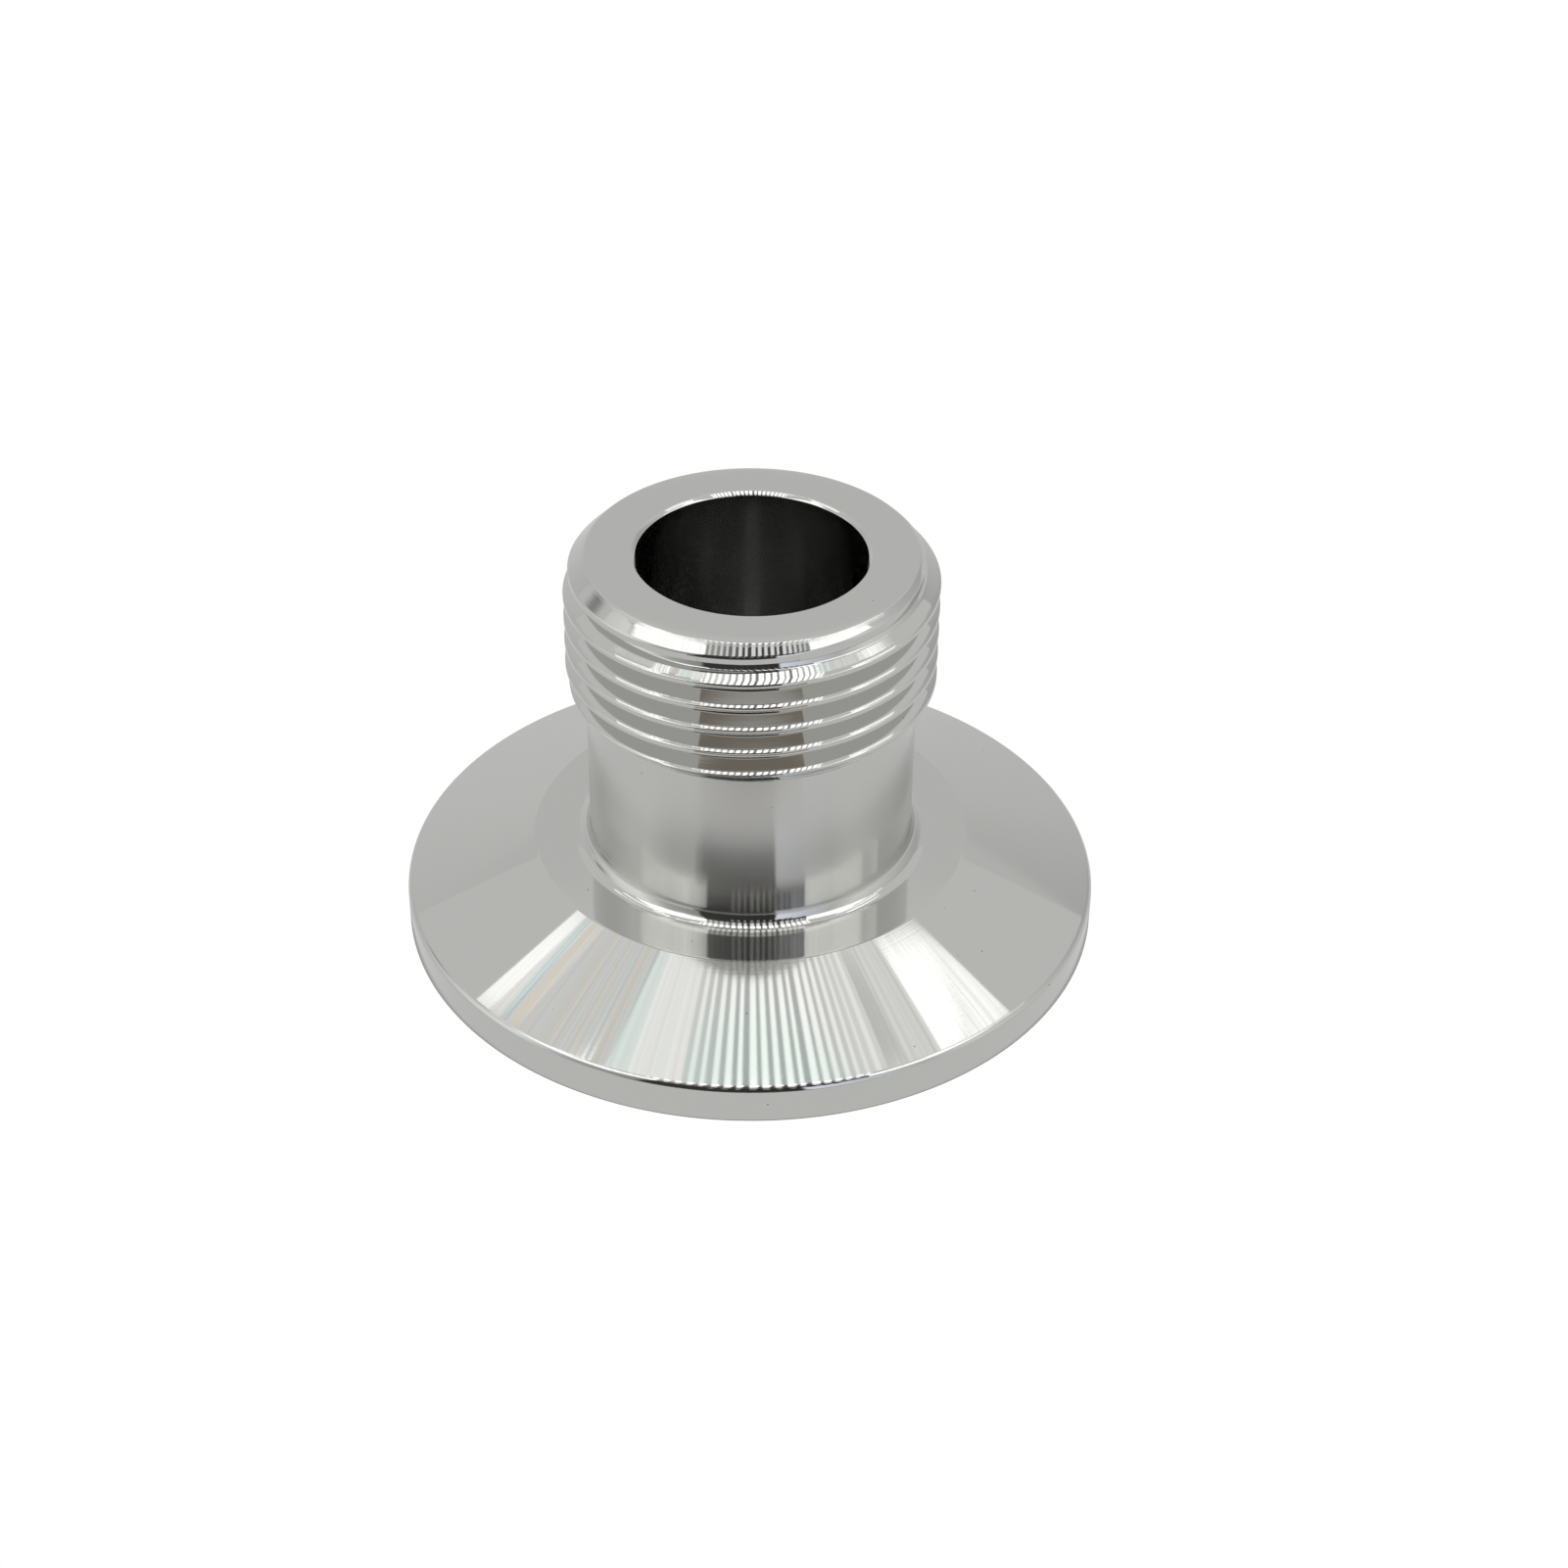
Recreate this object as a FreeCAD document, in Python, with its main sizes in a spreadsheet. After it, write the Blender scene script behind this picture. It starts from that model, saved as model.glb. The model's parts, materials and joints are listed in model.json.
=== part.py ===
import FreeCAD, Part
import os
import Sketcher

# Adapter from a 3/4 inch hose thread to a tri-clamp ferrule.
# It is one piece, turned from a stainless bar: a clamp flange with a coned back,
# a plain neck and an external pipe thread, with one straight bore through all of it.
# The origin is the middle of the flange's sealing face, and +Z runs up the bore.

doc = FreeCAD.newDocument("hose_adapter")

# Driving dimensions
# Lengths are in millimetres and angles are in degrees.

SIZES = [
    ("flange_diameter", 50.5, "outside of the clamp flange"),
    ("rim_height", 2.85, "straight edge of the flange, up to where its slope would start"),
    ("rim_corner", 0.28, "flat across the corner between the rim and the slope"),
    ("rim_break", 0.2, "chamfer where the rim meets the sealing face"),
    ("clamp_angle", 20, "slope of the flange's back, which the clamp squeezes"),
    ("shoulder_width", 2.85, "flat ring between the slope and the root fillet"),
    ("root_fillet", 1.2, "fillet between the shoulder and the neck"),
    ("total_height", 29.7, "sealing face to hose end"),
    ("bore_diameter", 16.1, "straight bore"),
    ("bore_break", 0.2, "chamfer at both ends of the bore"),
    ("groove_inset", 3.5, "rim to the middle of the gasket groove"),
    ("groove_mouth", 3.4, "width of the gasket groove at the sealing face"),
    ("groove_floor", 1.4, "width of the gasket groove's flat floor"),
    ("groove_depth", 1.4, "depth of the gasket groove"),
    ("thread_diameter", 26.2, "crests of the thread, inside its standard's tolerance"),
    ("thread_pitch", 1.814, "14 turns to the inch"),
    ("thread_angle", 55, "angle between the flanks of the thread"),
    ("thread_length", 9.7, "hose end to the lower end of the full crests"),
    ("thread_phase", 0.5, "lower end of the full crests down to a groove, on the +X side"),
    ("hose_end_chamfer", 1.5, "lead-in at the hose end, equal both ways"),
    ("neck_relief", 0.2, "how far the neck lies below the roots of the thread"),
]

sheet = doc.addObject("Spreadsheet::Sheet", "sizes")
for row, (alias, value, meaning) in enumerate(SIZES, start=1):
    sheet.set("A%d" % row, alias)
    sheet.set("B%d" % row, str(value))
    sheet.set("C%d" % row, meaning)
    sheet.setAlias("B%d" % row, alias)
doc.recompute()


# Sizes that follow from the driving dimensions
# The thread has the 55 degree form of a parallel pipe thread: a sixth of the sharp
# triangle's height is left off at its roots and at its crests, and both are flat here.

FLANGE_RADIUS = "sizes.flange_diameter / 2"
THREAD_RADIUS = "sizes.thread_diameter / 2"
FLANK_LEAN = "tan(sizes.thread_angle * 0.5 deg)"
THREAD_DEPTH = "(sizes.thread_pitch / 3 / %s)" % FLANK_LEAN
ROOT_RADIUS = "(%s - %s)" % (THREAD_RADIUS, THREAD_DEPTH)
NECK_RADIUS = "(%s - sizes.neck_relief)" % ROOT_RADIUS
SHOULDER_RADIUS = "(%s + sizes.root_fillet + sizes.shoulder_width)" % NECK_RADIUS
SLOPE = "tan(sizes.clamp_angle * 1 deg)"
SHOULDER_HEIGHT = "(sizes.rim_height + (%s - %s) * %s)" % (FLANGE_RADIUS, SHOULDER_RADIUS, SLOPE)
CREST_START = "(sizes.total_height - sizes.thread_length)"
BEVEL_START = "(%s - (%s - %s))" % (CREST_START, THREAD_RADIUS, NECK_RADIUS)


def worked_out(expression):
    """The number that an expression of the sheet's sizes gives."""
    value = sheet.evalExpression(expression)
    return float(value.Value if hasattr(value, "Value") else value)


# Tools for sketches

body = doc.addObject("PartDesign::Body", "adapter_body")
body.Label = "adapter_body"


def new_sketch(name, role):
    """A sketch on one of the body's own origin planes."""
    sketch = body.newObject("Sketcher::SketchObject", name)
    plane = [item for item in body.Origin.OriginFeatures if item.Role == role][0]
    sketch.AttachmentSupport = [(plane, "")]
    sketch.MapMode = "FlatFace"
    return sketch


def pin_point(sketch, geometry, vertex, across, up):
    """Places a point of the sketch by two dimensions from the sketch's origin."""
    for kind, expression in (("DistanceX", across), ("DistanceY", up)):
        if expression == "0":
            axis = -2 if kind == "DistanceX" else -1
            sketch.addConstraint(Sketcher.Constraint("PointOnObject", geometry, vertex, axis))
            continue
        value = worked_out(expression)
        index = sketch.addConstraint(
            Sketcher.Constraint(kind, -1, 1, geometry, vertex, value))
        sketch.setExpression("Constraints[%d]" % index, expression)


def draw_outline(sketch, points):
    """A closed outline of straight sides through points given as expressions."""
    places = [FreeCAD.Vector(worked_out(a), worked_out(b), 0) for a, b in points]
    for start, end in zip(places, places[1:] + places[:1]):
        sketch.addGeometry(Part.LineSegment(start, end))
    for i, (across, up) in enumerate(points):
        sketch.addConstraint(Sketcher.Constraint("Coincident", i, 2, (i + 1) % len(points), 1))
        pin_point(sketch, i, 1, across, up)


def circle_edges(feature, radius, height):
    """Names of the feature's circular edges with this radius at this height."""
    near = 1e-4
    names = []
    for number, edge in enumerate(feature.Shape.Edges, start=1):
        curve = edge.Curve
        if not isinstance(curve, Part.Circle):
            continue
        if abs(curve.Radius - radius) < near and abs(curve.Center.z - height) < near:
            names.append("Edge%d" % number)
    return names


def dress(kind, name, base, circles, dimension, expression):
    """A fillet or chamfer on the circular edges found at the given radii and heights."""
    feature = body.newObject(kind, name)
    edges = []
    for radius, height in circles:
        edges += circle_edges(base, worked_out(radius), worked_out(height))
    feature.Base = (base, edges)
    feature.setExpression(dimension, expression)
    body.Tip = feature
    doc.recompute()
    return feature


# Turned blank
# The half section, from the axis outwards along the sealing face and back along the outside.

blank_sketch = new_sketch("blank_section", "XZ_Plane")
draw_outline(blank_sketch, [
    ("0", "0"),
    (FLANGE_RADIUS, "0"),
    (FLANGE_RADIUS, "sizes.rim_height"),
    (SHOULDER_RADIUS, SHOULDER_HEIGHT),
    (NECK_RADIUS, SHOULDER_HEIGHT),
    (NECK_RADIUS, BEVEL_START),
    (THREAD_RADIUS, CREST_START),
    (THREAD_RADIUS, "sizes.total_height - sizes.hose_end_chamfer"),
    (THREAD_RADIUS + " - sizes.hose_end_chamfer", "sizes.total_height"),
    ("0", "sizes.total_height"),
])
blank = body.newObject("PartDesign::Revolution", "blank")
blank.Profile = blank_sketch
blank.ReferenceAxis = (blank_sketch, ["V_Axis"])
blank.Angle = 360
doc.recompute()

# Bore
# It goes straight through, and its circle is cut up from the sealing face.

bore_sketch = new_sketch("bore_circle", "XY_Plane")
bore_size = worked_out("sizes.bore_diameter")
bore_sketch.addGeometry(Part.Circle(
    FreeCAD.Vector(0, 0, 0), FreeCAD.Vector(0, 0, 1), bore_size / 2))
bore_sketch.addConstraint(Sketcher.Constraint("Coincident", 0, 3, -1, 1))
across_bore = bore_sketch.addConstraint(Sketcher.Constraint("Diameter", 0, bore_size))
bore_sketch.setExpression("Constraints[%d]" % across_bore, "sizes.bore_diameter")
bore = body.newObject("PartDesign::Pocket", "bore")
bore.Profile = bore_sketch
bore.Type = "ThroughAll"
bore.Reversed = True
doc.recompute()

# Gasket groove
# A shallow ring with leaning walls in the sealing face, which locates the gasket's bead.

GROOVE_RADIUS = "(%s - sizes.groove_inset)" % FLANGE_RADIUS

groove_sketch = new_sketch("gasket_groove_section", "XZ_Plane")
draw_outline(groove_sketch, [
    (GROOVE_RADIUS + " - sizes.groove_mouth / 2", "0"),
    (GROOVE_RADIUS + " + sizes.groove_mouth / 2", "0"),
    (GROOVE_RADIUS + " + sizes.groove_floor / 2", "sizes.groove_depth"),
    (GROOVE_RADIUS + " - sizes.groove_floor / 2", "sizes.groove_depth"),
])
gasket_groove = body.newObject("PartDesign::Groove", "gasket_groove")
gasket_groove.Profile = groove_sketch
gasket_groove.ReferenceAxis = (groove_sketch, ["V_Axis"])
gasket_groove.Angle = 360
doc.recompute()

# Edges
# The neck runs into the shoulder with a fillet. The clamp's groove slides over the corner
# between the rim and the slope, so that corner is taken off, and the rest are broken.

root_fillet = dress("PartDesign::Fillet", "root_fillet", gasket_groove,
                    [(NECK_RADIUS, SHOULDER_HEIGHT)], "Radius", "sizes.root_fillet")
rim_corner = dress("PartDesign::Chamfer", "rim_corner", root_fillet,
                   [(FLANGE_RADIUS, "sizes.rim_height")], "Size", "sizes.rim_corner")
rim_break = dress("PartDesign::Chamfer", "rim_break", rim_corner,
                  [(FLANGE_RADIUS, "0")], "Size", "sizes.rim_break")
bore_breaks = dress("PartDesign::Chamfer", "bore_breaks", rim_break,
                    [("sizes.bore_diameter / 2", "0"),
                     ("sizes.bore_diameter / 2", "sizes.total_height")],
                    "Size", "sizes.bore_break")

# Thread
# A right-hand helical groove cut into the blank. Its section lies on the +X side: a flat
# root, two straight flanks and a mouth that stays open outside the crests.
# It starts a turn below the full crests, where the bevel is already under the roots,
# and runs out through the hose end.

OUTSIDE = "(%s + sizes.thread_pitch / 8)" % THREAD_RADIUS
HALF_ROOT = "(sizes.thread_pitch / 12)"
HALF_MOUTH = "(%s + (%s - %s) * %s)" % (HALF_ROOT, OUTSIDE, ROOT_RADIUS, FLANK_LEAN)
GROOVE_START = "(%s - sizes.thread_phase - sizes.thread_pitch)" % CREST_START

thread_sketch = new_sketch("thread_groove_section", "XZ_Plane")
draw_outline(thread_sketch, [
    (ROOT_RADIUS, "%s - %s" % (GROOVE_START, HALF_ROOT)),
    (OUTSIDE, "%s - %s" % (GROOVE_START, HALF_MOUTH)),
    (OUTSIDE, "%s + %s" % (GROOVE_START, HALF_MOUTH)),
    (ROOT_RADIUS, "%s + %s" % (GROOVE_START, HALF_ROOT)),
])

thread = body.newObject("PartDesign::SubtractiveHelix", "thread")
thread.Profile = thread_sketch
thread.ReferenceAxis = (thread_sketch, ["V_Axis"])
thread.Mode = "pitch-height-angle"
thread.setExpression("Pitch", "sizes.thread_pitch")
thread.setExpression("Height", "sizes.thread_length + sizes.thread_phase + 2 * sizes.thread_pitch")
thread.LeftHanded = False
thread.Reversed = False
body.Tip = thread
doc.recompute()

# Checks and files

for item in doc.Objects:
    if "Invalid" in item.State or "Error" in item.State:
        raise RuntimeError("%s did not compute: %s" % (item.Name, item.State))

if body.Shape.isNull() or not body.Shape.isValid() or len(body.Shape.Solids) != 1:
    raise RuntimeError("%s is not one valid solid" % body.Label)

os.makedirs("parts", exist_ok=True)
body.Shape.exportStep("parts/%s.step" % body.Label)
box = body.Shape.optimalBoundingBox(True, False)
print("%s: %.2f x %.2f x %.2f mm, %.0f mm3" % (
    body.Label, box.XLength, box.YLength, box.ZLength, body.Shape.Volume))
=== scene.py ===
# %% [markdown]
# # A garden hose to tri-clamp adapter in polished stainless steel
# The real part is turned from one stainless bar. Its wide foot is a sanitary clamp flange,
# then come a plain neck and a 3/4 inch parallel pipe thread, and one bore runs through it all.
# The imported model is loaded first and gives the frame: metres, +Z up the bore, and the origin
# in the middle of the flange's sealing face. The lessons that follow turn the body again
# with finer roundings, cut the thread, and build the steel and the light box.

# %% The frame
import bpy
import json
import math
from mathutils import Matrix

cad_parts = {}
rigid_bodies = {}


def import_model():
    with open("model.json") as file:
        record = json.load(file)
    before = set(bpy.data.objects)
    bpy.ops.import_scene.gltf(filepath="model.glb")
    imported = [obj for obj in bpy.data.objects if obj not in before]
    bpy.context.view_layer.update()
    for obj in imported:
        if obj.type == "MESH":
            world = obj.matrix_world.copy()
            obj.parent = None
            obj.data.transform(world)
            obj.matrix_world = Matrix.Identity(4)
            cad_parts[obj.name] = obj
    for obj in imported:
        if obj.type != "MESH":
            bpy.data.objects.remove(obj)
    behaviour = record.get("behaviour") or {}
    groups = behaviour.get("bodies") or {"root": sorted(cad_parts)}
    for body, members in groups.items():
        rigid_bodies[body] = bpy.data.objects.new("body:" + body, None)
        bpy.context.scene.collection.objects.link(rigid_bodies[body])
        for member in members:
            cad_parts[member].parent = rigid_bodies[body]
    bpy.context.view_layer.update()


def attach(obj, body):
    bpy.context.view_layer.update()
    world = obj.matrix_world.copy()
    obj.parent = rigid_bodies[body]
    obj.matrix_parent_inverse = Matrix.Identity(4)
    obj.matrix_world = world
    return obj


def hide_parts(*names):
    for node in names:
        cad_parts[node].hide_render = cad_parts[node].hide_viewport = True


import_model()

# %% [markdown]
# ## The camera
# The photograph was taken from a little over 20 cm away, looking down at about 38 degrees.
# From so near, the flange's front looks clearly wider than its back, so the distance
# matters as much as the angle. The lens is a mild telephoto on a full-frame sensor.
# The part stands a little left of the middle and below it, which a small turn gives.

# %% Place the camera
MM = 0.001


def radians(*degrees):
    return [math.radians(d) for d in degrees]


camera_data = bpy.data.cameras.new("camera")
camera_data.lens = 65.1
camera_data.sensor_width = 36.0
camera_data.clip_start = 0.01
camera_data.clip_end = 20.0
camera = bpy.data.objects.new("camera", camera_data)
camera.location = (0, -167.51 * MM, 130.61 * MM)
camera.rotation_euler = radians(54.248, -0.609, -0.386)
bpy.context.scene.collection.objects.link(camera)
bpy.context.scene.camera = camera
print("camera is", round(camera.location.length / MM, 1), "mm from the origin")

# %% [markdown]
# ## Drawing a section
# A lathe part is one outline swept round an axis. By hand the outline starts as a single
# point: a small plane whose corners are merged. The point is then extruded from corner to
# corner, and each corner is rounded with a vertex bevel. A bevel's width is measured along
# the sides, so an arc of radius R in a corner of angle A needs a width of R / tan(A / 2).
# The outline is in millimetres here: how far from the axis, and how high.

# %% Helpers for sections
def start_outline(name, across, up):
    """An object in edit mode that holds one point of the section."""
    bpy.ops.object.select_all(action="DESELECT")
    bpy.ops.mesh.primitive_plane_add(size=MM, location=(across * MM, 0, up * MM))
    piece = bpy.context.object
    piece.name = piece.data.name = name
    bpy.ops.object.transform_apply(location=True)
    bpy.ops.object.mode_set(mode="EDIT")
    bpy.ops.mesh.merge(type="CENTER")
    return piece


def draw_to(points, start):
    """Extrudes the selected point along the others, in straight sides."""
    here = start
    for there in points:
        step = ((there[0] - here[0]) * MM, 0, (there[1] - here[1]) * MM)
        bpy.ops.mesh.extrude_region_move(TRANSFORM_OT_translate={"value": step})
        here = there


SAME_PLACE = 0.001                  # mm


def round_corners(piece, places, width, segments):
    """Bevels the section's points that lie at the given places."""
    bpy.ops.object.mode_set(mode="OBJECT")
    for part in (piece.data.vertices, piece.data.edges, piece.data.polygons):
        part.foreach_set("select", [False] * len(part))
    found = 0
    for point in piece.data.vertices:
        across, up = point.co.x / MM, point.co.z / MM
        if any(math.hypot(across - a, up - u) < SAME_PLACE for a, u in places):
            point.select = True
            found += 1
    bpy.ops.object.mode_set(mode="EDIT")
    bpy.ops.mesh.bevel(offset_type="OFFSET", offset=width * MM, segments=segments,
                       affect="VERTICES", clamp_overlap=False)
    return found


def cut_long_sides(piece, longest):
    """Subdivides each straight side of the section that is longer than this."""
    bpy.ops.object.mode_set(mode="OBJECT")
    points = piece.data.vertices
    lengths = [(points[e.vertices[0]].co - points[e.vertices[1]].co).length / MM
               for e in piece.data.edges]
    pieces = sorted({math.ceil(length / longest) for length in lengths} - {1})
    marks = [(side.index, math.ceil(lengths[side.index] / longest))
             for side in piece.data.edges]
    for count in reversed(pieces):
        points.foreach_set("select", [False] * len(points))
        for index, wanted in marks:
            piece.data.edges[index].select = wanted == count
        bpy.ops.object.mode_set(mode="EDIT")
        bpy.ops.mesh.select_mode(type="EDGE")
        bpy.ops.mesh.subdivide(number_cuts=count - 1)
        bpy.ops.mesh.select_mode(type="VERT")
        bpy.ops.object.mode_set(mode="OBJECT")
        for side in piece.data.edges:
            side.select = False
    bpy.ops.object.mode_set(mode="EDIT")


# %% [markdown]
# ## The turned body
# The outline runs from the upper end of the thread over the hose end, down the bore, out
# along the sealing face with its gasket groove, round the rim, and up the 20 degree back and
# the neck to the lower end of the thread. Nothing on a polished part is truly sharp, so
# every corner gets a small arc, which is also what catches the thin bright lines of light.

# %% The body's outline
# Radii and heights, in mm.
FLANGE = 25.25
RIM_TOP = 2.85
NECK = 11.738
SHOULDER = 15.788
SHOULDER_TOP = 6.294
BORE = 8.05
HEIGHT = 29.7
FACE_EDGE = 11.6                    # the outer edge of the hose end's flat face
MOUTH_IN, MOUTH_DOWN = 0.27, 0.23   # the bore's broken edge at the hose end,
LOWER_BREAK = 0.2                   # and at the sealing face
GROOVE = (20.05, 23.45)             # the gasket groove in the sealing face,
GROOVE_FLOOR = (21.05, 22.45)       # and its flat floor
GROOVE_DEPTH = 1.4

# The thread is a mesh of its own between two 45 degree cones, and meets the body on them.
CREST = 13.1
FULL_CRESTS = 20.0                  # the lower cone reaches the crests here,
LEAD_IN = 28.2                      # and the upper one leaves them here
RUN_OUT = 0.11                      # the body keeps this much of the lower cone
THREAD_TOP = 11.97
THREAD_LOW = (NECK + RUN_OUT, FULL_CRESTS - (CREST - NECK - RUN_OUT))
THREAD_HIGH = (THREAD_TOP, LEAD_IN + CREST - THREAD_TOP)

TURN_STEPS = 192
BODY_SIDE = 1.5                     # the longest straight side of the section

outline = [
    THREAD_HIGH,
    (FACE_EDGE, HEIGHT),
    (BORE + MOUTH_IN, HEIGHT),
    (BORE, HEIGHT - MOUTH_DOWN),
    (BORE, LOWER_BREAK),
    (BORE + LOWER_BREAK, 0),
    (GROOVE[0], 0),
    (GROOVE_FLOOR[0], GROOVE_DEPTH),
    (GROOVE_FLOOR[1], GROOVE_DEPTH),
    (GROOVE[1], 0),
    (FLANGE, 0),
    (FLANGE, RIM_TOP),
    (SHOULDER, SHOULDER_TOP),
    (NECK, SHOULDER_TOP),
    (NECK, THREAD_LOW[1] - RUN_OUT),
    THREAD_LOW,
]
body = start_outline("turned_body", *outline[0])
draw_to(outline[1:], outline[0])

# Each row: the corners, the bevel's width in mm, and its segments.
ROUNDINGS = [
    ([(FACE_EDGE, HEIGHT), (SHOULDER, SHOULDER_TOP)], 0.08, 5),
    ([(BORE + MOUTH_IN, HEIGHT), (BORE, HEIGHT - MOUTH_DOWN), (BORE, LOWER_BREAK),
      (BORE + LOWER_BREAK, 0), (NECK, THREAD_LOW[1] - RUN_OUT)], 0.03, 3),
    ([(radius, 0) for radius in GROOVE], 0.15, 4),
    ([(radius, GROOVE_DEPTH) for radius in GROOVE_FLOOR], 0.5, 6),
    ([(FLANGE, 0)], 0.2, 5),
    ([(FLANGE, RIM_TOP)], 0.38, 8),
    ([(NECK, SHOULDER_TOP)], 1.2, 14),
]
rounded = 0
for places, width, segments in ROUNDINGS:
    rounded += round_corners(body, places, width, segments)
cut_long_sides(body, BODY_SIDE)
print("corners rounded:", rounded, "of", len(outline) - 2)

# %% [markdown]
# ## Turning it
# Spin sweeps the outline once round the axis and closes it on itself. 192 steps leave the
# flats of the wide rim under a hundredth of a millimetre deep.

# %% Spin the outline
bpy.ops.mesh.select_all(action="SELECT")
bpy.ops.mesh.spin(steps=TURN_STEPS, angle=2 * math.pi, center=(0, 0, 0), axis=(0, 0, 1))
bpy.ops.object.mode_set(mode="OBJECT")
print("turned body:", len(body.data.polygons), "faces")

# %% [markdown]
# ## The thread
# A parallel pipe thread is a row of 55 degree teeth. On this part their crests are narrow
# flats, and polishing has dubbed off the upper edge of each one, so the outer 0.2 mm of the
# flank lies a little flatter. That strip shows the lamps as a row of bright dots. The grooves
# end in a small rounding. By hand this is a zigzag of teeth with the corners bevelled.
# The zigzag is as tall as the thread and a turn more, because a Screw modifier then sweeps
# it through one turn while it climbs by one pitch, and each tooth meets the next one up.

# %% The teeth
PITCH = 1.814
TOOTH_ANGLE = 55
LEAN = math.tan(math.radians(TOOTH_ANGLE / 2))   # a flank's climb for each mm inwards
SHARP_TIP = CREST + 0.34            # where a tooth's two flanks would meet
VALLEY = SHARP_TIP - PITCH / 2 / LEAN
HALF_LAND = (SHARP_TIP - CREST) * LEAN
CREST_ROUNDING = 0.05
ROOT_ROUNDING = 0.32
DUBBED = 0.22                       # how far in from the crest the flatter strip reaches,
DROP = 0.035                        # and how much lower its outer edge lies
LOWEST_CREST = 20.4                 # the height of a crest on the +X side
THREAD_SIDE = 0.11                  # the longest straight side of the zigzag

middle = LOWEST_CREST - 2 * PITCH
teeth = [(VALLEY, middle - PITCH / 2)]
while middle < THREAD_HIGH[1] + PITCH:
    teeth += [(CREST, middle - HALF_LAND), (CREST, middle + HALF_LAND - DROP),
              (CREST - DUBBED, middle + HALF_LAND + DUBBED * LEAN),
              (VALLEY, middle + PITCH / 2)]
    middle += PITCH
thread = start_outline("thread", *teeth[0])
draw_to(teeth[1:], teeth[0])
round_corners(thread, [t for t in teeth[1:-1] if t[0] == VALLEY], ROOT_ROUNDING, 8)
round_corners(thread, [t for t in teeth if t[0] == CREST], CREST_ROUNDING, 4)
cut_long_sides(thread, THREAD_SIDE)
bpy.ops.object.mode_set(mode="OBJECT")
print("teeth:", len(teeth) // 4, "outline points:", len(thread.data.vertices))

# %% Sweep it up the helix
sweep = thread.modifiers.new("helix", "SCREW")
sweep.angle = 2 * math.pi
sweep.screw_offset = PITCH * MM
sweep.steps = sweep.render_steps = TURN_STEPS
sweep.use_merge_vertices = False
bpy.ops.object.modifier_apply(modifier=sweep.name)
quarter = [v.co for v in thread.data.vertices if abs(v.co.x) < 1e-6 and v.co.y > 0]
print("swept:", len(thread.data.polygons), "faces; lowest a quarter turn on:",
      round(min(co.z for co in quarter) / MM, 3), "mm")

# %% [markdown]
# ## Turning the ends down
# The bar was turned to its outline before the thread was cut, so at the hose end a 45 degree
# lead-in slices the teeth, and below them another cone runs down to the neck. Here each point
# of the thread that stands proud of the bar's outline is brought in to it. Points past the
# ends are gathered on the end circles, where they merge and meet the body's own edge.
# The thin starting edge of a thread is taken down so that it doesn't cut fingers or washers.
# That leaves the short upright lip above the first full tooth, and the groove below the lip
# isn't cut to its full depth.

# %% Cut the thread to the bar's outline
# For the lip and for the tooth below it: a radius, how fast it falls, and from which height.
LIP, LIP_FALL, LIP_HEIGHT = 12.45, 0.66, 29.02
FIRST_TOOTH, FIRST_FALL, FIRST_HEIGHT = 12.79, 0.9, 28.5
# The shallow groove's floor, its slope, where it is that deep, and how far down it is shallow.
SHALLOW, SHALLOW_SLOPE, SHALLOW_BELOW, SHALLOW_FROM = 12.17, 0.577, 0.31, 28.0


def bar_radius(up):
    """The bar's radius, in mm, before the thread was cut."""
    if up < FULL_CRESTS:
        return CREST - (FULL_CRESTS - up)
    if up > LEAD_IN:
        return CREST - (up - LEAD_IN)
    return CREST + 1


def worn_radius(across, along, up):
    """How far out, in mm, the thread's starting edge still stands at this place."""
    climb = LOWEST_CREST + PITCH * math.atan2(along, across) / (2 * math.pi)
    tooth = climb + PITCH * round((up - climb) / PITCH)
    return min(LIP - LIP_FALL * (tooth - LIP_HEIGHT),
               FIRST_TOOTH + FIRST_FALL * (FIRST_HEIGHT - tooth))


def root_radius(across, along, up):
    """The shallow groove's floor, in mm, in the first turn below the hose end."""
    climb = LOWEST_CREST + PITCH * (0.5 + math.atan2(along, across) / (2 * math.pi))
    root = climb + PITCH * round((up - climb) / PITCH)
    return (SHALLOW - SHALLOW_SLOPE * (up - root + SHALLOW_BELOW)
            - max(0, SHALLOW_FROM - root))


for point in thread.data.vertices:
    across = math.hypot(point.co.x, point.co.y) / MM
    up = min(max(point.co.z / MM, THREAD_LOW[1]), THREAD_HIGH[1])
    past_the_end = up in (THREAD_LOW[1], THREAD_HIGH[1])
    worn = worn_radius(point.co.x, point.co.y, up)
    cut = max(across, root_radius(point.co.x, point.co.y, up))
    kept = bar_radius(up) if past_the_end else min(cut, bar_radius(up), worn)
    point.co.x *= kept / across
    point.co.y *= kept / across
    point.co.z = up * MM
print("thread cut from", round(THREAD_LOW[1], 2), "to", round(THREAD_HIGH[1], 2), "mm")

# %% [markdown]
# ## One piece of steel
# The thread and the body end on the same two circles, point for point, so joining them and
# merging what lies together closes the surface. Merging is followed by a look for edges with
# only one face, because a watertight mesh has none.

# %% Join the thread to the body
MERGED = 2e-7                       # metres: points closer than this become one,
SLIVER = 1e-7                       # and an edge shorter than this is taken out

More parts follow.
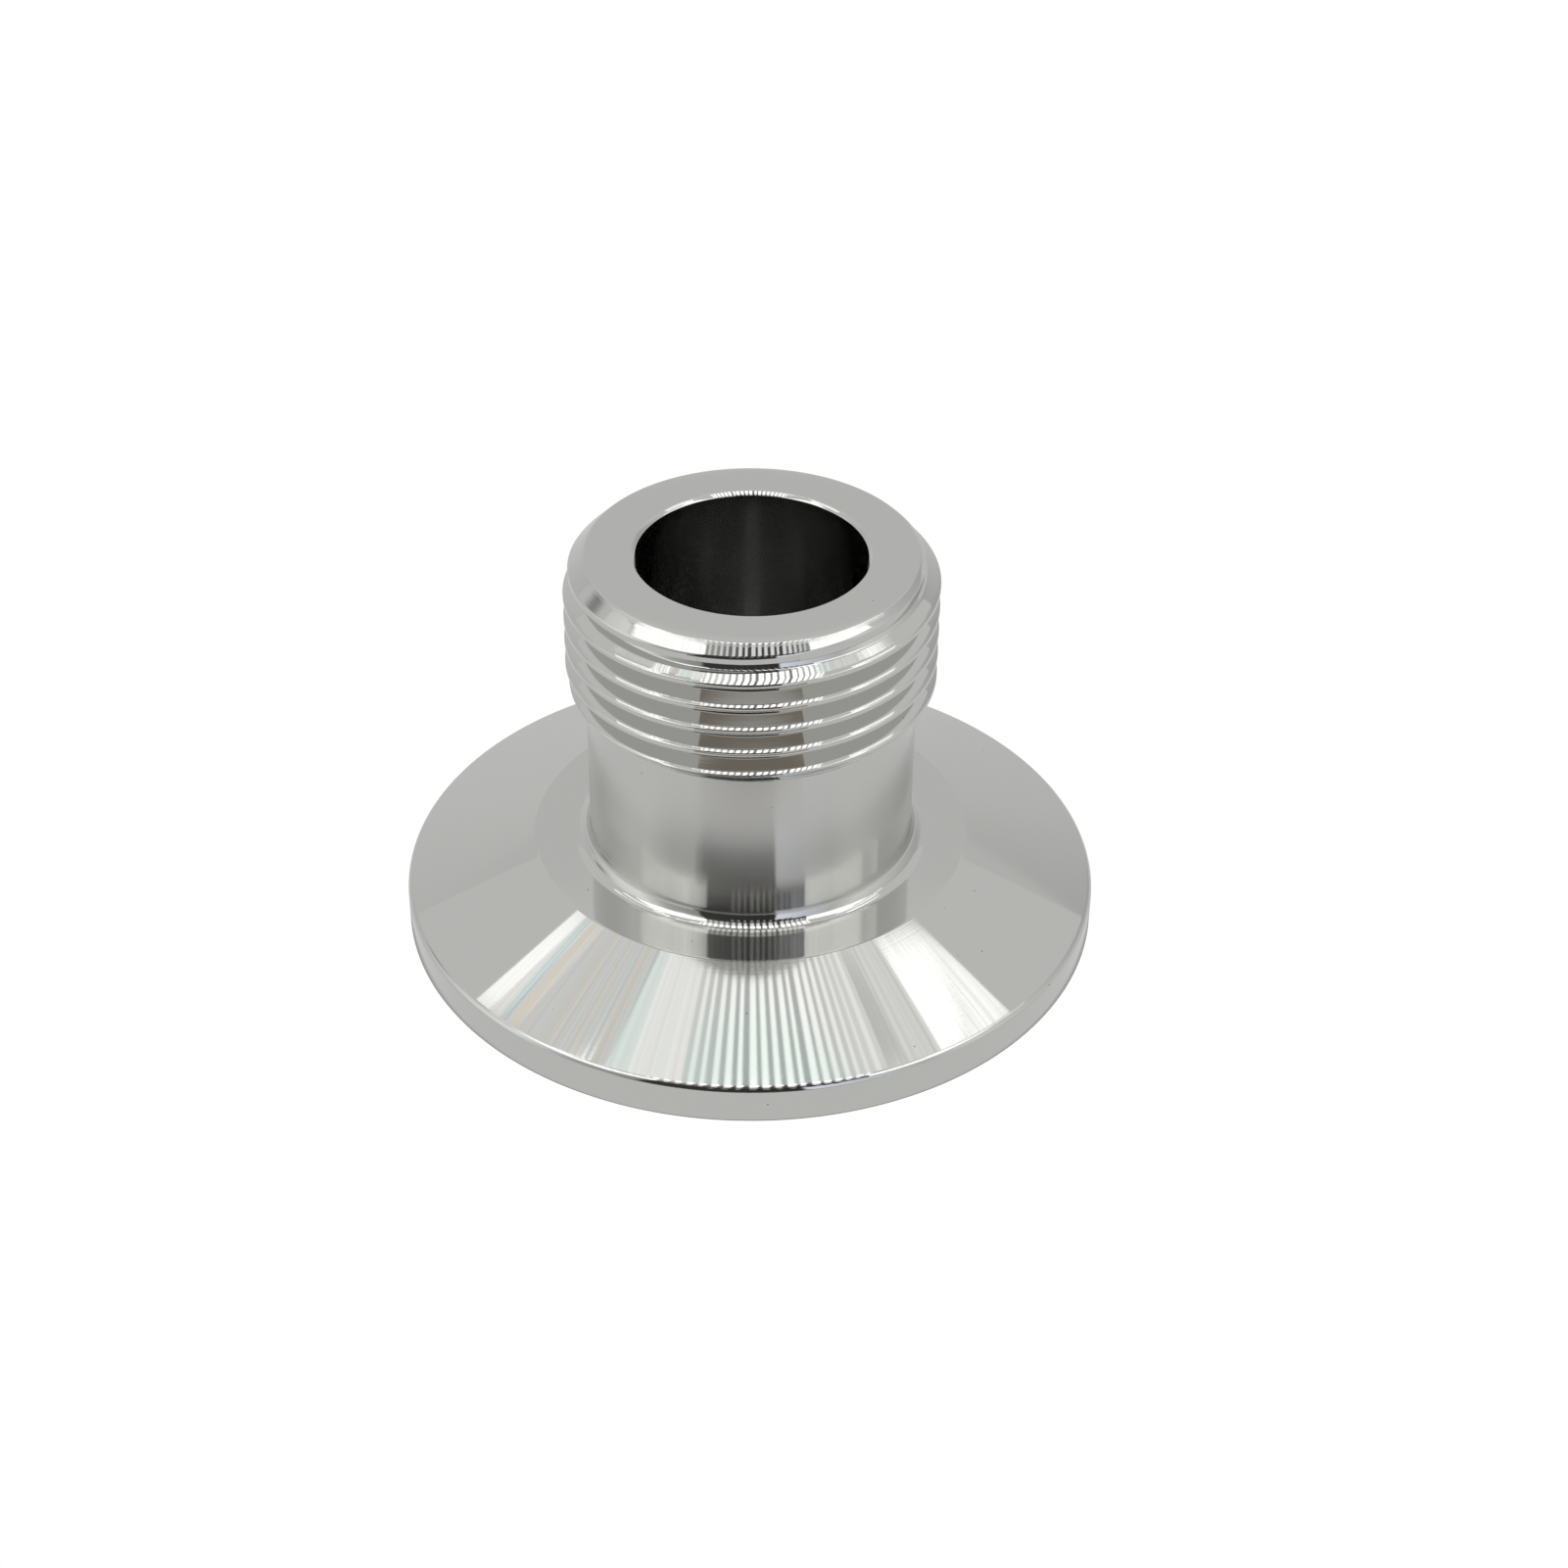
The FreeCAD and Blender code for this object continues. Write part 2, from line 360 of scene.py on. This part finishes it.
bpy.ops.object.select_all(action="DESELECT")
thread.select_set(True)
body.select_set(True)
bpy.context.view_layer.objects.active = body
bpy.ops.object.join()
adapter = bpy.context.object
adapter.name = adapter.data.name = "turned_adapter"
bpy.ops.object.mode_set(mode="EDIT")
bpy.ops.mesh.select_all(action="SELECT")
bpy.ops.mesh.remove_doubles(threshold=MERGED)
bpy.ops.mesh.dissolve_degenerate(threshold=SLIVER)
bpy.ops.mesh.select_all(action="SELECT")
bpy.ops.mesh.normals_make_consistent(inside=False)
bpy.ops.mesh.select_all(action="DESELECT")
bpy.ops.mesh.select_non_manifold()
bpy.ops.object.mode_set(mode="OBJECT")
open_edges = sum(edge.select for edge in adapter.data.edges)
triangles = sum(len(face.vertices) - 2 for face in adapter.data.polygons)
print("adapter:", triangles, "triangles,", open_edges, "open edges")

# %% Smooth it
bpy.ops.object.shade_smooth()
weighted = adapter.modifiers.new("flats stay flat", "WEIGHTED_NORMAL")
weighted.mode = "FACE_AREA"
weighted.weight = 50
bpy.ops.object.modifier_apply(modifier=weighted.name)
print("smooth faces:", sum(face.use_smooth for face in adapter.data.polygons))

# %% [markdown]
# ## Stainless steel
# The bar is austenitic stainless steel, turned and then polished bright. The last tool marks
# run round the axis, so they smear each reflection up and down the part and leave it
# sharp from side to side. That is what draws the lamps out into a fan on the flange.
# The neck was polished less than the rest, and the bore a little less, so their reflections
# fade into one another. Here and there a small pit is left, which looks like a dark speck.

# %% Colours and nodes
def linear(hex_colour):
    """An sRGB hex colour as the linear numbers that shaders use."""
    parts = [int(hex_colour[i:i + 2], 16) / 255 for i in (1, 3, 5)]
    return [p / 12.92 if p <= 0.04045 else ((p + 0.055) / 1.055) ** 2.4 for p in parts] + [1.0]


def add_node(tree, kind, settings=None, **inputs):
    """Adds a node, sets its own settings, and gives its inputs values or links.

    An input is named with _ for a space, or by its number: i0 is the first one.
    """
    node = tree.nodes.new(kind)
    for name, value in (settings or {}).items():
        setattr(node, name, value)
    for name, value in inputs.items():
        by_number = name[0] == "i" and name[1:].isdigit()
        socket = node.inputs[int(name[1:]) if by_number else name.replace("_", " ")]
        if isinstance(value, bpy.types.NodeSocket):
            tree.links.new(value, socket)
        else:
            socket.default_value = value
    return node


def new_material(name):
    """An empty material, and the node tree to fill."""
    material = bpy.data.materials.new(name)
    material.use_nodes = True
    material.node_tree.nodes.clear()
    return material, material.node_tree


# %% The steel
STEEL, PIT = "#D3D3D0", "#4A4540"
MARK_SIZE = 0.1                     # mm, the grain of the tool marks, which is about
                                    # the feed of a fine last cut
MARK_DEPTH = 0.0008                 # mm, so little since the part was polished
BRIGHT, NECK_ROUGHNESS = 0.05, 0.14
BORE_ADDS = 0.04                    # the bore's roughness is this much more than BRIGHT
NECK_BAND, BORE_BAND = 0.06, 0.01   # mm, how near the neck or the bore a place has to be
PIT_SPACING = 2.4                   # mm, roughly from one pit to the next
PIT_EDGE = (0.04, 0.06)             # mm from the middle of a pit, where it ends

steel, tree = new_material("polished turned stainless steel")
place = add_node(tree, "ShaderNodeTexCoord")
around = add_node(tree, "ShaderNodeVectorMath", {"operation": "CROSS_PRODUCT"},
                  i0=(0, 0, 1), i1=place.outputs["Object"])
along_marks = add_node(tree, "ShaderNodeVectorMath", {"operation": "NORMALIZE"},
                       i0=around.outputs["Vector"])
apart = add_node(tree, "ShaderNodeSeparateXYZ", i0=place.outputs["Object"])
from_axis = add_node(tree, "ShaderNodeVectorMath", {"operation": "LENGTH"},
                     i0=around.outputs["Vector"])
section = add_node(tree, "ShaderNodeCombineXYZ", X=from_axis.outputs["Value"],
                   Y=apart.outputs["Z"])
fine = add_node(tree, "ShaderNodeTexNoise", {"noise_dimensions": "2D"},
                Vector=section.outputs["Vector"], Scale=1 / (MARK_SIZE * MM), Detail=2.0)
on_neck = add_node(tree, "ShaderNodeMath", {"operation": "COMPARE"},
                   i0=from_axis.outputs["Value"], i1=NECK * MM, i2=NECK_BAND * MM)
in_bore = add_node(tree, "ShaderNodeMath", {"operation": "LESS_THAN"},
                   i0=from_axis.outputs["Value"], i1=(BORE + BORE_BAND) * MM)
neck_or_not = add_node(tree, "ShaderNodeMapRange", i0=on_neck.outputs["Value"],
                       i3=BRIGHT, i4=NECK_ROUGHNESS)
roughness = add_node(tree, "ShaderNodeMath", {"operation": "MULTIPLY_ADD"},
                     i0=in_bore.outputs["Value"], i1=BORE_ADDS,
                     i2=neck_or_not.outputs["Result"])
marks = add_node(tree, "ShaderNodeBump", Strength=1.0, Distance=MARK_DEPTH * MM,
                 Height=fine.outputs["Fac"])
pits = add_node(tree, "ShaderNodeTexVoronoi", Vector=place.outputs["Object"],
                Scale=1 / (PIT_SPACING * MM))
colour = add_node(tree, "ShaderNodeValToRGB", Fac=pits.outputs["Distance"])
for stop, reach, hex_colour in zip(colour.color_ramp.elements, PIT_EDGE, (PIT, STEEL)):
    stop.position, stop.color = reach / PIT_SPACING, linear(hex_colour)
# The tangent follows the tool marks, and a quarter turn lays the smear across them.
shader = add_node(tree, "ShaderNodeBsdfPrincipled", Base_Color=colour.outputs["Color"],
                  Metallic=1.0, Roughness=roughness.outputs["Value"],
                  Anisotropic=1.0, Anisotropic_Rotation=0.25,
                  Tangent=along_marks.outputs["Vector"], Normal=marks.outputs["Normal"])
add_node(tree, "ShaderNodeOutputMaterial", Surface=shader.outputs["BSDF"])
adapter.data.materials.clear()
adapter.data.materials.append(steel)
print("steel:", len(tree.nodes), "nodes, roughness", BRIGHT, "to", NECK_ROUGHNESS)

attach(adapter, "root")
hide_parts("adapter_body")

# %% [markdown]
# ## The light box
# The part was photographed in a white light box: pale walls and table all round, and a board
# with rows of small lamps overhead. Steel shows nothing but its surroundings, so the box
# is built as large glowing cards. The camera doesn't see them, only the reflections do.
# The steel's colour and roughness stay those of real steel, and each card's place is worked
# out from where the photograph shows its reflection. All places here are in mm.

# %% Cards
WHITE = "#FFFFFF"
PALE = 0.68                         # how brightly the table glows
CEILING = 340                       # the height of the ceiling
SQUARE = [(-420, -420), (420, -420), (420, 420), (-420, 420)]
cards = []


def card(name, corners, glow, tint=WHITE):
    """A flat card from four corners in mm, which only reflections see."""
    bpy.ops.object.select_all(action="DESELECT")
    bpy.ops.mesh.primitive_plane_add(size=1)
    piece = bpy.context.object
    piece.name = piece.data.name = name
    in_plane_order = (corners[0], corners[1], corners[3], corners[2])
    for point, corner in zip(piece.data.vertices, in_plane_order):
        point.co = [c * MM for c in corner]
    material, tree = new_material(name)
    light = add_node(tree, "ShaderNodeEmission", Color=linear(tint), Strength=glow)
    add_node(tree, "ShaderNodeOutputMaterial", Surface=light.outputs["Emission"])
    piece.data.materials.append(material)
    piece.visible_camera = False
    cards.append(piece)
    return piece


def flat_card(name, height, places, glow, tint=WHITE):
    """A level card from four places across and along, in mm."""
    return card(name, [(x, y, height) for x, y in places], glow, tint)


def glow_from(tree, socket, value):
    """Links a value to the strength or the colour of a card's light."""
    tree.links.new(value, tree.nodes["Emission"].inputs[socket])


flat_card("ceiling", CEILING, SQUARE, 0.7)
flat_card("back_of_ceiling", CEILING, [(-350, 420), (350, 420), (350, 660), (-350, 660)],
          0.65)
print("cards so far:", len(cards))

# %% [markdown]
# ## Streaks in the lamps' light
# Every tool mark draws a lamp out into a streak that points at the axis, and the streaks of
# many small lamps lie side by side. On the ceiling, a streak belongs to a line that fans out
# from behind the part, so a lamp's place is given in degrees of that fan, and a fine noise
# along those degrees makes each panel's light uneven in the same way. A second, slower noise
# tints a few panels faintly, warm on one side and bluish on the other, as lamps of several
# kinds do. The coned back, the lead-in and the dubbed edges of the thread show these panels.
# They hang at slightly different heights, since two cards in one plane would show through
# each other in patches.

# %% The fan
FAN_WIDTH = 5.05                    # mm of ceiling in each degree, straight above the part
FAN_SLOPE = -0.01655                # how that changes for each mm towards the back,
FAN_CURVE = 0.0000225               # and how this slope does
STREAK_SCALE, TINT_SCALE = 0.9, 0.15     # how often each noise changes in a degree
NOISE_RANGE = {"i1": 0.25, "i2": 0.75}    # nearly all of a noise lies in this range
TINT_STOPS = (0.36, 0.5, 0.64)      # where on the slow noise the three tints sit


def fan_degrees(tree):
    """How many degrees round the fan a place on the ceiling lies."""
    spot = add_node(tree, "ShaderNodeTexCoord")
    split = add_node(tree, "ShaderNodeSeparateXYZ", i0=spot.outputs["Object"])
    slope = add_node(tree, "ShaderNodeMath", {"operation": "MULTIPLY_ADD"},
                     i0=split.outputs["Y"], i1=FAN_CURVE / MM, i2=FAN_SLOPE)
    width = add_node(tree, "ShaderNodeMath", {"operation": "MULTIPLY_ADD"},
                     i0=split.outputs["Y"], i1=slope.outputs["Value"], i2=FAN_WIDTH * MM)
    return add_node(tree, "ShaderNodeMath", {"operation": "DIVIDE"},
                    i0=split.outputs["X"], i1=width.outputs["Value"]).outputs["Value"]


def panel(name, places, glow, unevenness=0.3, tint=(WHITE, WHITE, WHITE), drop=2):
    """A level card, drop mm below the ceiling, lit in fine streaks of the fan."""
    piece = flat_card(name, CEILING - drop, places, glow)
    tree = piece.data.materials[0].node_tree
    streaks = add_node(tree, "ShaderNodeTexNoise", {"noise_dimensions": "1D"},
                       W=fan_degrees(tree), Scale=STREAK_SCALE, Detail=3.0)
    level = add_node(tree, "ShaderNodeMapRange", i0=streaks.outputs["Fac"], **NOISE_RANGE,
                     i3=glow * (1 - unevenness), i4=glow * (1 + unevenness))
    glow_from(tree, "Strength", level.outputs["Result"])
    patches = add_node(tree, "ShaderNodeTexNoise", {"noise_dimensions": "1D"},
                       W=fan_degrees(tree), Scale=TINT_SCALE, Detail=0.5)
    tints = add_node(tree, "ShaderNodeValToRGB", Fac=patches.outputs["Fac"])
    stops = tints.color_ramp.elements
    stops.new(0.5)
    for stop, position, hex_colour in zip(stops, TINT_STOPS, tint):
        stop.position, stop.color = position, linear(hex_colour)
    glow_from(tree, "Color", tints.outputs["Color"])
    return piece


print("a degree of the fan is", FAN_WIDTH, "mm wide above the part")

# %% The panels
panel("front_panel", [(-400, -185), (400, -185), (310, -320), (-330, -320)], 1.6, 0.15)
panel("left_front_panel", [(-400, -15), (-225, -15), (-125, -186), (-400, -186)], 1.6, 0.15)
panel("right_front_panel", [(225, -15), (440, -15), (400, -186), (150, -186)], 1.6, 0.15)
panel("left_lamps", [(-215, -5), (-160, -5), (-120, 62), (-165, 66)], 1.3, 0.5, drop=3)
panel("middle_left", [(-125, -60), (-80, -60), (-80, -15), (-115, -15)], 1.1, 0.4)
panel("right_panel", [(165, 66), (196, 164), (222, 150), (190, 70)], 1.45)
panel("far_right_panel", [(286, -11), (411, 109), (439, 81), (314, -39)], 1.45, drop=3)
panel("right_thread_lamp", [(174, -4), (290, 112), (326, 76), (210, -40)], 1.45, drop=3)
panel("left_thread_lamp", [(-174, -4), (-290, 112), (-326, 76), (-210, -40)], 1.4, 0.35,
      drop=3)
panel("right_lamp", [(138, 104), (160, 60), (194, 163), (188, 158)], 1.7, 0.15, drop=3)
panel("right_glow", [(100, 15), (60, 95), (147, 125), (168, 40)], 0.93, 0.15, drop=1)
panel("right_gap", [(97, 72), (107, 49), (121, 59), (108, 81)], 0.72, 0.05)
panel("left_glow", [(-205, 195), (-240, 150), (-132, 15), (-91, 83)], 0.85, 0.1,
      ("#FFFBF0", WHITE, "#F3FAFA"))
panel("left_lamp", [(-190, 168), (-221, 151), (-238, 171), (-202, 190)], 1.5, 0.15, drop=3)
panel("left_fade", [(-178, 152), (-208, 134), (-221, 151), (-190, 168)], 1.15, 0.25,
      ("#FFF3DF", WHITE, "#DFF1F2"), drop=3)
panel("left_edge", [(-163, 135), (-192, 116), (-208, 134), (-178, 152)], 0.98, 0.2,
      ("#FFF7EA", WHITE, "#E2F1F4"), drop=3)
panel("inner_left_lamp", [(-150, -15), (-50, -15), (-30, 85), (-90, 85)], 1.15, 0.08,
      (WHITE, WHITE, "#F0FAF8"))
print("cards so far:", len(cards))

# %% [markdown]
# ## A dark corner
# On the left, the light box is dimmer for a short way below the ceiling, and the hose end's
# chamfer shows that as a soft dark patch. The card fades from its dark middle to the wall's
# own brightness, so its outline doesn't show.

# %% The dark corner
CORNER_MIDDLE = (-634, 296, 313)
CORNER_FADE = (10, 115)             # how far from its middle the fading starts and ends
CORNER_GLOW, WALL_GLOW = 0.3, 0.67

corner = card("dark_corner",
              [(-566, 411, 190), (-679, 169, 190), (-679, 169, 450), (-566, 411, 450)],
              CORNER_GLOW)
tree = corner.data.materials[0].node_tree
spot = add_node(tree, "ShaderNodeTexCoord")
from_middle = add_node(tree, "ShaderNodeVectorMath", {"operation": "DISTANCE"},
                       i0=spot.outputs["Object"], i1=[c * MM for c in CORNER_MIDDLE])
level = add_node(tree, "ShaderNodeMapRange", {"interpolation_type": "SMOOTHSTEP"},
                 i0=from_middle.outputs["Value"], i1=CORNER_FADE[0] * MM,
                 i2=CORNER_FADE[1] * MM, i3=CORNER_GLOW, i4=WALL_GLOW)
glow_from(tree, "Strength", level.outputs["Result"])
print("dark corner:", round(math.dist(CORNER_MIDDLE, (0, 0, 0))), "mm from the origin")

# %% [markdown]
# ## The row of lamps
# Straight above the part the lamps are seen one by one, as a fan of bars. The bars are
# brightest in the middle of the fan, and to both sides they and the gaps fade into one
# another. The nearest row behind the part is faintly green. In front, where the photographer
# looks in, the ceiling is dark and only the bars stand out, and the foot of the neck and the
# shoulder show one more row, far in front.

# %% Lamps
BAR_PERIOD = 2                      # degrees of the fan from one bar to the next
BAR_SCALE, BAR_SPREAD = 0.6, 0.25   # how the bars' widths vary along the fan
FAN_MIDDLE = 4.0                    # the degree where the bars are brightest,
FADE = {"i1": 6.0, "i2": 16.0}      # and how far from it they start and stop fading
GAP_RISE = 0.35                     # how far a gap rises towards its bars at the sides,
BAR_FALL = 0.8                      # and what is left of a bar there
GAP_DROP, ROW_DROP = 3, 4           # mm below the ceiling: the rows cover the dark gap


def fan_place(degrees, along):
    """The place across and along, in mm, where a degree of the fan is at this distance."""
    return degrees * (FAN_WIDTH + FAN_SLOPE * along + FAN_CURVE * along * along), along


def lamp_row(name, near, far, glow, gap_glow, share, first, last, tint=WHITE):
    """A card of bright bars between two distances behind the axis, in front if negative."""
    ends = [fan_place(first, far), fan_place(last, far),
            fan_place(last, near), fan_place(first, near)]
    piece = flat_card(name, CEILING - ROW_DROP, ends, glow, tint)
    tree = piece.data.materials[0].node_tree
    bars = add_node(tree, "ShaderNodeMath", {"operation": "MULTIPLY"},
                    i0=fan_degrees(tree), i1=1 / BAR_PERIOD)
    phase = add_node(tree, "ShaderNodeMath", {"operation": "FRACT"}, i0=bars.outputs["Value"])
    uneven = add_node(tree, "ShaderNodeTexNoise", {"noise_dimensions": "1D"},
                      W=fan_degrees(tree), Scale=BAR_SCALE, Detail=1.0)
    lamp = add_node(tree, "ShaderNodeMapRange", i0=uneven.outputs["Fac"], **NOISE_RANGE,
                    i3=share - BAR_SPREAD, i4=share + BAR_SPREAD)
    lit = add_node(tree, "ShaderNodeMath", {"operation": "LESS_THAN"},
                   i0=phase.outputs["Value"], i1=lamp.outputs["Result"])
    from_middle = add_node(tree, "ShaderNodeMath", {"operation": "SUBTRACT"},
                           i0=fan_degrees(tree), i1=FAN_MIDDLE)
    aside = add_node(tree, "ShaderNodeMath", {"operation": "ABSOLUTE"},
                     i0=from_middle.outputs["Value"])
    gap = add_node(tree, "ShaderNodeMapRange", i0=aside.outputs["Value"], **FADE,
                   i3=gap_glow, i4=gap_glow + GAP_RISE * (glow - gap_glow))
    bar = add_node(tree, "ShaderNodeMapRange", i0=aside.outputs["Value"], **FADE,
                   i3=glow, i4=BAR_FALL * glow)
    level = add_node(tree, "ShaderNodeMapRange", i0=lit.outputs["Value"],
                     i3=gap.outputs["Result"], i4=bar.outputs["Result"])
    glow_from(tree, "Strength", level.outputs["Result"])
    return piece


flat_card("viewing_gap", CEILING - GAP_DROP,
          [(-255, -420), (319, -420), (156, -140), (-92, -140)], 0.08)
# Each row: nearest and farthest, the glow of a bar and of a gap, a bar's share of a period,
# and the first and last degree.
lamp_row("lamps_behind", 36, 95, 1.45, 0.64, 0.5, -11, 24)
lamp_row("tinted_lamps", 15, 36, 1.45, 0.64, 0.5, -11, 24, "#F2FFFB")
lamp_row("lamps_above", -140, 15, 2.0, 0.25, 0.65, -17, 21)
lamp_row("lamps_in_front", -300, -140, 1.0, 0.08, 0.5, -15, 20)
lamp_row("lamps_far_in_front", -560, -415, 0.4, 0.02, 0.4, -6, 14)
print("cards so far:", len(cards))

# %% [markdown]
# ## The walls
# The walls stand far off, so the world stands for them: a ramp round the compass that is dim
# beside the opening in front, dark where the photographer stands, and bluish just to the right
# of that, where a window's light comes in. On the right, towards the back, it is a little
# darker again. To the camera itself the world is plain white.

# %% The world
# Degrees from +X, counted through +Y at the back, and how brightly the wall glows there.
WALLS = [(-180, 0.95), (-165, 1.0), (-145, 0.5), (-123, 0.35), (-122, 0.05), (-74, 0.04),
         (-73, 1.0), (-55, 0.75), (-36, 0.6), (-18, 0.85), (5, 0.7), (30, 0.56),
         (46, 0.5), (66, 0.65), (114, 0.7), (147, 0.6), (180, 0.95)]
WINDOW = (-73, -55)
BLUER = 1.12                        # the window's blue, as a multiple of its green

world = bpy.data.worlds.new("light box")
world.use_nodes = True
bpy.context.scene.world = world
sky = world.node_tree
direction = add_node(sky, "ShaderNodeTexCoord")
split = add_node(sky, "ShaderNodeSeparateXYZ", i0=direction.outputs["Generated"])
compass = add_node(sky, "ShaderNodeMath", {"operation": "ARCTAN2"},
                   i0=split.outputs["Y"], i1=split.outputs["X"])
turn = add_node(sky, "ShaderNodeMapRange", i0=compass.outputs["Value"],
                i1=-math.pi, i2=math.pi)
walls = add_node(sky, "ShaderNodeValToRGB", i0=turn.outputs["Result"])
stops = walls.color_ramp.elements
while len(stops) < len(WALLS):
    stops.new(0.5)
for stop, (degrees, glow) in zip(stops, WALLS):
    stop.position = (degrees + 180) / 360
    bluish = BLUER if WINDOW[0] <= degrees <= WINDOW[1] else 1.0
    stop.color = (glow / bluish ** 0.5, glow, glow * bluish, 1)
ray = add_node(sky, "ShaderNodeLightPath")
seen = add_node(sky, "ShaderNodeMix", {"data_type": "RGBA"}, i0=ray.outputs["Is Camera Ray"],
                i6=walls.outputs["Color"], i7=(1, 1, 1, 1))
# On a Mix node of colours, inputs 6 and 7 are A and B, and output 2 is the result.
sky.links.new(seen.outputs[2], sky.nodes["Background"].inputs["Color"])
bpy.context.scene.view_settings.view_transform = "Standard"
print("walls:", len(WALLS), "stops round the compass")

# %% [markdown]
# ## The table
# The camera sees a plain white table with no shadow, as in the photograph. The steel sees a
# slightly greyer one, with a painted contact shadow round the flange's edge and painted shade
# under the bore. A little way in front it is darker and brownish, and the lower flanks of the
# thread pick that up.
# Further on it is nearly black, and that draws the dark line round the rim's upper edge.

# %% The floor
FLOOR_SIZE = 6                      # metres
FLOOR_HEIGHT = -0.2                 # mm, just below the sealing face

bpy.ops.object.select_all(action="DESELECT")
bpy.ops.mesh.primitive_plane_add(size=FLOOR_SIZE, location=(0, 0, FLOOR_HEIGHT * MM))
floor = bpy.context.object
floor.name = floor.data.name = "floor"
bpy.ops.object.transform_apply(location=True)
floor_white, tree = new_material("pale table")
table_light = add_node(tree, "ShaderNodeEmission", Color=linear(WHITE), Strength=1.0)
see_through = add_node(tree, "ShaderNodeBsdfTransparent")
side = add_node(tree, "ShaderNodeNewGeometry")
both = add_node(tree, "ShaderNodeMixShader", i0=side.outputs["Backfacing"],
                i1=table_light.outputs["Emission"], i2=see_through.outputs["BSDF"])
add_node(tree, "ShaderNodeOutputMaterial", Surface=both.outputs["Shader"])
floor.data.materials.append(floor_white)
floor.visible_glossy = False
print("floor:", FLOOR_SIZE, "m wide, seen from above only")

# %% The table in the steel
SHADOW_EDGE = (25, 25.8)              # painted contact shadow inside the first radius, pale past the second
# how dimly the table glows in its painted shadow
SHADOW_GLOW = 0.02
UNDER_FLANGE = (16.75, 8.15)        # middle and half width of the ring that lights the
                                    # sealing face for a view from below
TABLE_LEVEL = -0.3
ON_TABLE, OVER_TABLE = -0.28, -0.27 # two levels just above it, for the patches on it

table = flat_card("table", TABLE_LEVEL, SQUARE, PALE)
tree = table.data.materials[0].node_tree
spot = add_node(tree, "ShaderNodeTexCoord")
distance = add_node(tree, "ShaderNodeVectorMath", {"operation": "LENGTH"},
                    i0=spot.outputs["Object"])
# Painted shade on the table card: a contact shadow round the flange's edge, and shade under the
# bore.
shade = add_node(tree, "ShaderNodeMapRange", i0=distance.outputs["Value"],
                 i1=SHADOW_EDGE[0] * MM, i2=SHADOW_EDGE[1] * MM, i3=SHADOW_GLOW, i4=PALE)
under_flange = add_node(tree, "ShaderNodeMath", {"operation": "COMPARE"},
                        i0=distance.outputs["Value"],
                        i1=UNDER_FLANGE[0] * MM, i2=UNDER_FLANGE[1] * MM)
level = add_node(tree, "ShaderNodeMath", {"operation": "MAXIMUM"},
                 i0=shade.outputs["Result"], i1=under_flange.outputs["Value"])
glow_from(tree, "Strength", level.outputs["Value"])
flat_card("warm_patch", ON_TABLE,
          [(-23, -39.5), (23, -39.5), (27, -47.5), (-27, -47.5)], 0.4, "#DCCFC0")
flat_card("dark_floor", OVER_TABLE,
          [(-42, -60), (17, -60), (121, -420), (-294, -420)], 0.05)
# A faint strip of painted light under the bore, a little brighter than the painted shade round
# it.
flat_card("under_the_bore", ON_TABLE, [(-2, -7), (2, -7), (2, 7), (-2, 7)], 0.1)
print("cards in all:", len(cards))
